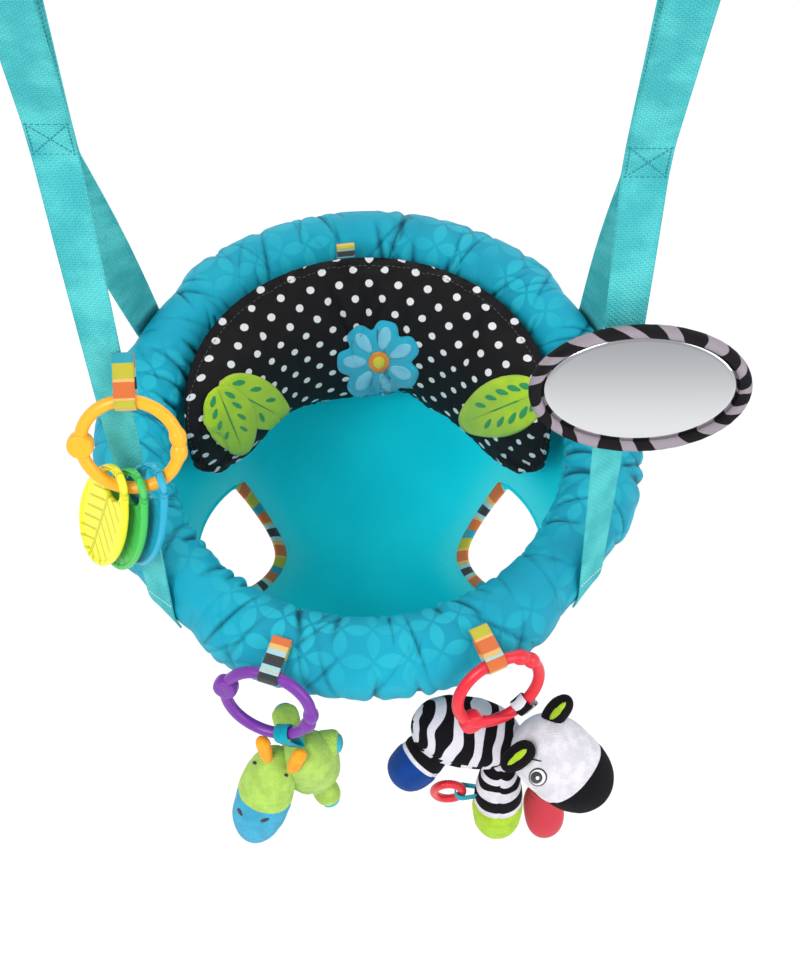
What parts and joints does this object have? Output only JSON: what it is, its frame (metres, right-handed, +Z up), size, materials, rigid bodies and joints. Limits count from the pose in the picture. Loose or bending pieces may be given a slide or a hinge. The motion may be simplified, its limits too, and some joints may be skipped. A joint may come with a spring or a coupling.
{
  "type": "baby doorway jumper",
  "caption": "Padded ring seat with a sling and back pillow, hung on webbing from a spreader bar, a sleeved spring and a door clamp, with hanging toys.",
  "frame": {"origin": "middle of the underside of the door clamp's front pad, where it rests on the top ledge of the door casing", "axes": "+Z up; -Y towards the room that the baby faces; +X to the right of someone who stands there and looks at the seat"},
  "size_m": [0.4536, 0.4752, 1.3463],
  "materials": {
    "clamp": "satin",
    "steel": "satin",
    "rubber": "matte",
    "webbing": "matte",
    "sleeve": "matte",
    "wood": "satin",
    "hoop": "satin",
    "ring_cloth": "satin",
    "sling_cloth": "satin",
    "stripe": "matte",
    "pillow_cloth": "matte",
    "link_yellow": "satin",
    "link_purple": "satin",
    "link_red": "satin",
    "leaf_yellow": "satin",
    "leaf_green": "satin",
    "leaf_blue": "satin",
    "mirror_frame": "matte",
    "mirror": "polished",
    "giraffe": "matte",
    "horn": "matte",
    "teal_cloth": "matte",
    "zebra": "matte"
  },
  "bodies": {
    "clamp": {"clamp_front_arm": "clamp", "clamp_front_pad": "rubber", "clamp_pivot_pin": "steel"},
    "rear_jaw": {"clamp_rear_arm": "clamp", "clamp_rear_pad": "rubber"},
    "hanger": {"hanging_ring": "steel", "adjusting_strap": "webbing"},
    "adjuster": {"adjusting_buckle": "clamp", "spring_ring": "steel", "main_spring": "steel", "spring_sleeve": "sleeve"},
    "seat": {"spreader_bar": "wood", "spreader_eye_bolt": "steel", "spreader_cap_left": "clamp", "spreader_cap_right": "clamp", "strap_left": "webbing", "strap_right": "webbing", "ring_hoop": "hoop", "ring_pad": "ring_cloth", "seat_sling": "sling_cloth", "leg_binding_left": "stripe", "leg_binding_right": "stripe", "back_pillow": "pillow_cloth", "pillow_loop": "stripe", "loop_strap_left": "stripe", "loop_front_left": "stripe", "loop_front_right": "stripe", "mirror_band": "webbing"},
    "mirror": {"mirror_frame": "mirror_frame", "mirror_sheet": "mirror"},
    "side_link": {"link_yellow": "link_yellow"},
    "yellow_leaf": {"leaf_yellow": "leaf_yellow"},
    "green_leaf": {"leaf_green": "leaf_green"},
    "blue_leaf": {"leaf_blue": "leaf_blue"},
    "left_link": {"link_purple": "link_purple"},
    "giraffe": {"giraffe_body": "giraffe", "giraffe_head": "giraffe", "giraffe_leg_fore_left": "giraffe", "giraffe_leg_hind_left": "giraffe", "giraffe_leg_fore_right": "giraffe", "giraffe_leg_hind_right": "giraffe", "giraffe_horn_left": "horn", "giraffe_horn_right": "horn", "giraffe_loop": "teal_cloth"},
    "right_link": {"link_red": "link_red"},
    "zebra": {"zebra_body": "zebra", "zebra_head": "zebra", "zebra_leg_fore_near": "zebra", "zebra_leg_hind_near": "zebra", "zebra_leg_fore_far": "zebra", "zebra_leg_hind_far": "zebra", "zebra_ear_far": "zebra", "zebra_ear_near": "zebra", "zebra_loop": "zebra", "zebra_leaf_teether": "link_red", "zebra_ring_teether": "link_red", "zebra_tag": "teal_cloth"}
  },
  "joints": [
    {"name": "clamp_open", "type": "hinge", "parent": "clamp", "child": "rear_jaw", "pos_m": [0, 0.065, -0.1], "axis": [1, 0, 0], "range_deg": [-8, 0]},
    {"name": "doorway_swing", "type": "hinge", "parent": "clamp", "child": "hanger", "pos_m": [0, 0.065, -0.13559], "axis": [1, 0, 0], "range_deg": [-20, 20]},
    {"name": "height_adjust", "type": "slide", "parent": "hanger", "child": "adjuster", "axis": [0, 0, -1], "range_m": [0, 0.25], "deforming": ["adjusting_strap"]},
    {"name": "bounce", "type": "slide", "parent": "adjuster", "child": "seat", "axis": [0, 0, -1], "range_m": [0, 0.15], "stiffness_N_per_m": 450, "springref_m": -0.05, "deforming": ["main_spring", "spring_sleeve"]},
    {"name": "mirror_tilt", "type": "hinge", "parent": "seat", "child": "mirror", "pos_m": [0.1644, 0.02063, -0.93216], "axis": [1, 0, 0], "range_deg": [-8, 6]},
    {"name": "side_link_swing", "type": "hinge", "parent": "seat", "child": "side_link", "pos_m": [-0.14801, -0.00179, -0.92047], "axis": [1, 0, 0], "range_deg": [-30, 0]},
    {"name": "yellow_leaf_swing", "type": "hinge", "parent": "side_link", "child": "yellow_leaf", "pos_m": [-0.16101, -0.03413, -0.97319], "axis": [0.7776, 0.505, -0.3746], "range_deg": [-8, 20]},
    {"name": "green_leaf_swing", "type": "hinge", "parent": "side_link", "child": "green_leaf", "pos_m": [-0.1487, -0.03562, -0.97594], "axis": [0.7776, 0.505, -0.3746], "range_deg": [-8, 20]},
    {"name": "blue_leaf_swing", "type": "hinge", "parent": "side_link", "child": "blue_leaf", "pos_m": [-0.1356, -0.03386, -0.97198], "axis": [0.7776, 0.505, -0.3746], "range_deg": [-8, 20]},
    {"name": "left_link_swing", "type": "hinge", "parent": "seat", "child": "left_link", "pos_m": [-0.06483, -0.11902, -1.08806], "axis": [0.9511, -0.309, 0], "range_deg": [-25, 0]},
    {"name": "giraffe_swing", "type": "hinge", "parent": "left_link", "child": "giraffe", "pos_m": [-0.05759, -0.13983, -1.14549], "axis": [0.9001, -0.1626, 0.4042], "range_deg": [-20, 0]},
    {"name": "right_link_swing", "type": "hinge", "parent": "seat", "child": "right_link", "pos_m": [0.08866, -0.10963, -1.08806], "axis": [0.9063, 0.4226, 0], "range_deg": [-25, 0]},
    {"name": "zebra_swing", "type": "hinge", "parent": "right_link", "child": "zebra", "pos_m": [0.1102, -0.11855, -1.14427], "axis": [0.7231, 0.4985, 0.4782], "range_deg": [-20, 0]}
  ]
}
